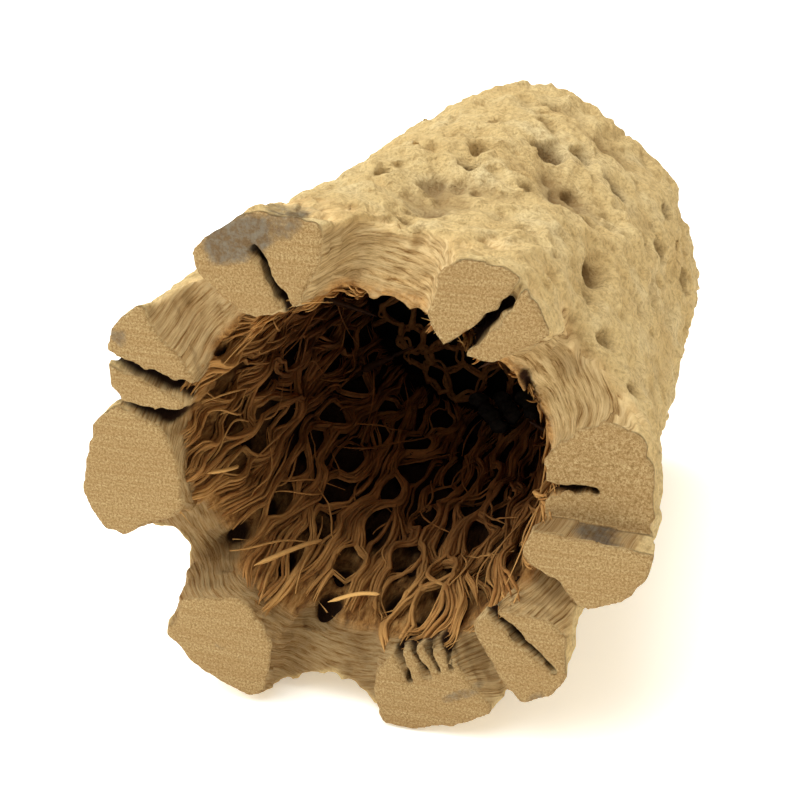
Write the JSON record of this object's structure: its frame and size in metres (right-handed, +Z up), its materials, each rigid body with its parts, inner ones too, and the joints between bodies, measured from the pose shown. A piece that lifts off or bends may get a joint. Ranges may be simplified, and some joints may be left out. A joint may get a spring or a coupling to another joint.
{
  "type": "rainstick section",
  "caption": "Short rainstick section: a ribbed hollow cactus stem, sawn open at one end and plugged at the other, with spines and loose pebbles inside.",
  "frame": {"origin": "on the floor under the middle of the stem's bounding box", "axes": "+Z up, +Y along the stem from the open sawn end to the plugged end, +X to the right when looking into the open end"},
  "size_m": [0.0628, 0.078, 0.0592],
  "materials": {
    "dried_cactus": "matt, granular, straw tan",
    "inner_fibre": "matt, fibrous, brown",
    "plug_wood": "matt, sawn",
    "glue": "dried amber glue",
    "spine": "smooth, dark brown",
    "pebble": "matt, rough"
  },
  "bodies": {
    "stem": {"cactus_tube": "dried_cactus", "fibre_lining": "inner_fibre", "fibre_web": "inner_fibre", "far_end_plug": "plug_wood", "plug_glue_ring": "glue", "spine_01": "spine", "spine_02": "spine", "spine_03": "spine", "spine_04": "spine", "spine_05": "spine", "spine_06": "spine", "spine_07": "spine", "spine_08": "spine", "spine_09": "spine", "spine_10": "spine", "spine_11": "spine", "spine_12": "spine"},
    "pebble_charge": {"pebble_01": "pebble", "pebble_02": "pebble", "pebble_03": "pebble", "pebble_04": "pebble", "pebble_05": "pebble", "pebble_06": "pebble", "pebble_07": "pebble", "pebble_08": "pebble", "pebble_09": "pebble", "pebble_10": "pebble"}
  },
  "joints": [
    {"name": "pebble_slide", "type": "slide", "parent": "stem", "child": "pebble_charge", "axis": [0, -1, 0.0067], "range_m": [0, 0.045]}
  ]
}
